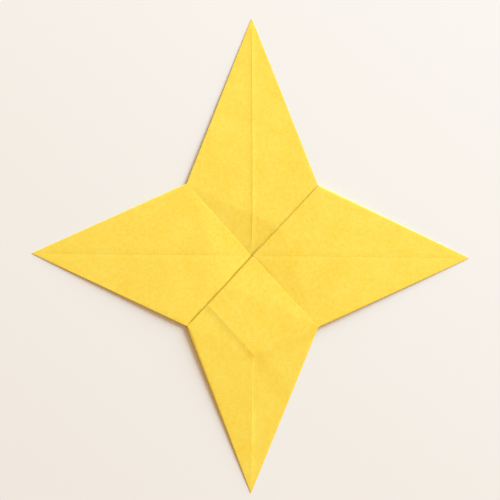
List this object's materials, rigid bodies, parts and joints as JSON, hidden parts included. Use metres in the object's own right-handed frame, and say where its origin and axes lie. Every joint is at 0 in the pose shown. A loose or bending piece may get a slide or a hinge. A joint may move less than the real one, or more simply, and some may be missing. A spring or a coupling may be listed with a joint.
{
  "type": "origami star",
  "caption": "Flat four-pointed star folded from one square sheet of paper, with crossing pleats at its middle and the points' sides folded to the back.",
  "frame": {"origin": "centre of the star in plan, at the height of the surface that it lies on", "axes": "+Z out of the front face, +Y to the point whose front layer is deepest in the stack, +X to the point on its right seen from the front"},
  "size_m": [0.1496, 0.1496, 0.0018],
  "materials": {
    "paper": "matte uncoated coloured paper"
  },
  "bodies": {
    "root": {"folded_sheet": "paper"}
  },
  "joints": []
}
